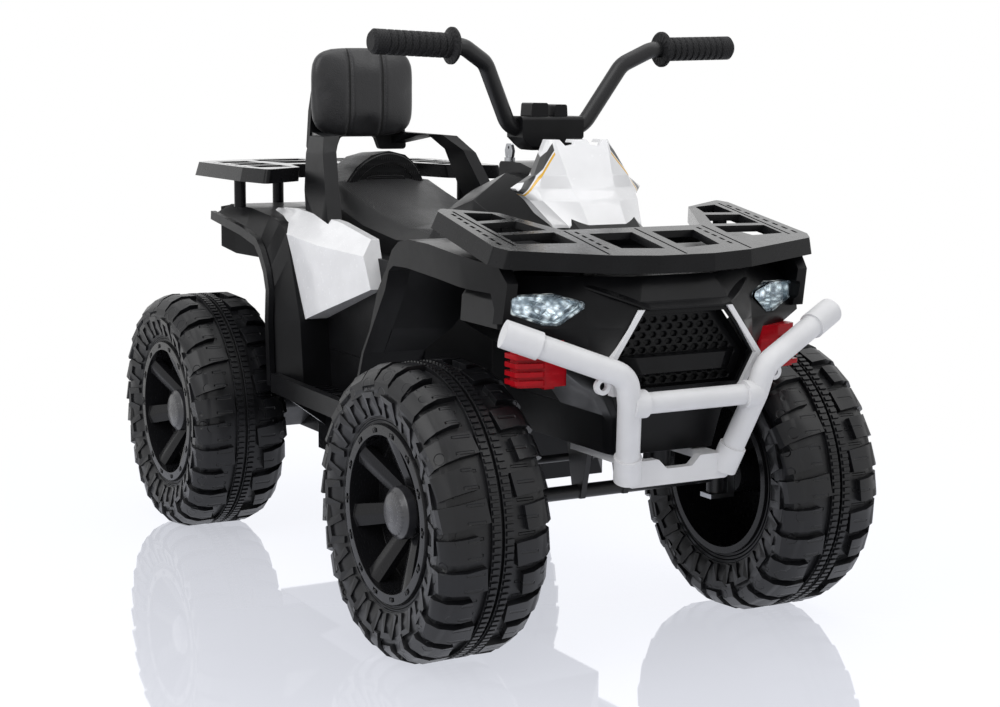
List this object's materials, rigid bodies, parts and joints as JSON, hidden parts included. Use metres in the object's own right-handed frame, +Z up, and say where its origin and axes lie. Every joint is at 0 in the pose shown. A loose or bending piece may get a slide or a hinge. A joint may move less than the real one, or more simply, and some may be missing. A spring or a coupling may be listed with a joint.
{
  "type": "kids quad bike",
  "caption": "Child's electric ride-on quad bike with lugged tyres, linked front steering, racks, guard bumper and padded backrest.",
  "frame": {"origin": "on the ground under the middle of the bike, half way between the axles", "axes": "+X forward, +Y to the rider's left, +Z up"},
  "size_m": [1.193, 0.6314, 0.7546],
  "materials": {
    "tyre": "matte lugged foam rubber",
    "rim_black": "gloss black moulding",
    "cap_grey": "dark grey moulding",
    "body_black": "fine-grained black moulding",
    "body_white": "gloss white moulding",
    "bumper_white": "satin white powder coat",
    "shock_red": "gloss red moulding",
    "lamp_clear": "clear moulded lens",
    "lamp_bowl": "metallised bowl",
    "tail_red": "red reflector",
    "steel": "bare steel",
    "bar_black": "black powder coat",
    "grip_rubber": "ribbed rubber",
    "pad_black": "black padded cover with sewn channels",
    "inner_grey": "plain moulded case"
  },
  "bodies": {
    "chassis": {"chassis_tub": "body_black", "centre_body": "body_black", "front_axle_beam": "bar_black", "gearboxes": "inner_grey", "drive_motors": "inner_grey", "rear_axle": "steel", "axle_nuts_rear": "steel", "battery": "inner_grey", "control_box": "inner_grey", "footboard_left": "body_black", "footboard_right": "body_black", "front_fascia": "body_black", "headlight_reflectors": "lamp_bowl", "headlight_lenses": "lamp_clear", "grille_mesh": "body_black", "grille_bar": "body_black", "grille_trims": "body_white", "front_shocks": "shock_red", "front_fender_left": "body_black", "front_fender_right": "body_black", "rear_flare_left": "body_black", "rear_flare_right": "body_black", "side_panel_left": "body_white", "side_panel_right": "body_white", "dash_shroud": "body_black", "nose_fairing": "body_white", "front_rack": "body_black", "rear_rack": "body_black", "front_bumper": "bumper_white", "seat": "body_black", "backrest_frame": "body_black", "backrest_pad": "pad_black", "tail_panel": "body_black", "tail_lights": "tail_red"},
    "steering": {"steering_column": "bar_black", "handlebar": "bar_black", "handlebar_clamp": "body_black", "grip_left": "grip_rubber", "grip_right": "grip_rubber"},
    "knuckle_left": {"knuckle_left": "steel", "axle_nut_front_left": "steel"},
    "knuckle_right": {"knuckle_right": "steel", "axle_nut_front_right": "steel"},
    "tie_rod": {"tie_rod": "bar_black"},
    "throttle_pedal": {"throttle_pedal": "body_black"},
    "ignition_key": {"ignition_key": "steel"},
    "gear_rocker": {"gear_rocker": "body_black"},
    "wheel_front_left": {"tyre_front_left": "tyre", "rim_front_left": "rim_black", "hub_cap_front_left": "cap_grey"},
    "wheel_front_right": {"tyre_front_right": "tyre", "rim_front_right": "rim_black", "hub_cap_front_right": "cap_grey"},
    "wheel_rear_left": {"tyre_rear_left": "tyre", "rim_rear_left": "rim_black", "hub_cap_rear_left": "cap_grey"},
    "wheel_rear_right": {"tyre_rear_right": "tyre", "rim_rear_right": "rim_black", "hub_cap_rear_right": "cap_grey"}
  },
  "joints": [
    {"name": "steer", "type": "hinge", "parent": "chassis", "child": "steering", "pos_m": [0.3751, 0, 0.24302], "axis": [-0.3387, 0, 0.9409], "range_deg": [-24, 24]},
    {"name": "kingpin_left", "type": "hinge", "parent": "chassis", "child": "knuckle_left", "pos_m": [0.3825, 0.178, 0.18], "axis": [0, 0, 1], "range_deg": [-24, 24]},
    {"name": "kingpin_right", "type": "hinge", "parent": "chassis", "child": "knuckle_right", "pos_m": [0.3825, -0.178, 0.18], "axis": [0, 0, 1], "range_deg": [-24, 24]},
    {"name": "tie_rod_pivot", "type": "hinge", "parent": "knuckle_right", "child": "tie_rod", "pos_m": [0.3375, -0.178, 0.2146], "axis": [0, 0, 1], "range_deg": [-24, 24]},
    {"name": "wheel_spin_front_left", "type": "hinge", "parent": "knuckle_left", "child": "wheel_front_left", "pos_m": [0.3825, 0.2425, 0.18], "axis": [0, 1, 0], "continuous": true},
    {"name": "wheel_spin_front_right", "type": "hinge", "parent": "knuckle_right", "child": "wheel_front_right", "pos_m": [0.3825, -0.2425, 0.18], "axis": [0, 1, 0], "continuous": true},
    {"name": "wheel_spin_rear_left", "type": "hinge", "parent": "chassis", "child": "wheel_rear_left", "pos_m": [-0.3825, 0.2425, 0.18], "axis": [0, 1, 0], "continuous": true},
    {"name": "wheel_spin_rear_right", "type": "hinge", "parent": "chassis", "child": "wheel_rear_right", "pos_m": [-0.3825, -0.2425, 0.18], "axis": [0, 1, 0], "continuous": true},
    {"name": "pedal_press", "type": "hinge", "parent": "chassis", "child": "throttle_pedal", "pos_m": [0.022, -0.178, 0.256], "axis": [0, 1, 0], "range_deg": [0, 12], "stiffness_Nm_per_rad": 1.5, "springref_deg": -14.32},
    {"name": "key_turn", "type": "hinge", "parent": "chassis", "child": "ignition_key", "pos_m": [0.2, -0.032, 0.585], "axis": [0, 0, 1], "range_deg": [-60, 0]},
    {"name": "gear_rock", "type": "hinge", "parent": "chassis", "child": "gear_rocker", "pos_m": [0.204, 0.024, 0.583], "axis": [0, 1, 0], "range_deg": [-10, 10]}
  ],
  "couplings": [
    {"joint": "kingpin_left", "follows": "steer", "ratio": 1},
    {"joint": "kingpin_right", "follows": "steer", "ratio": 1},
    {"joint": "tie_rod_pivot", "follows": "steer", "ratio": -1}
  ]
}
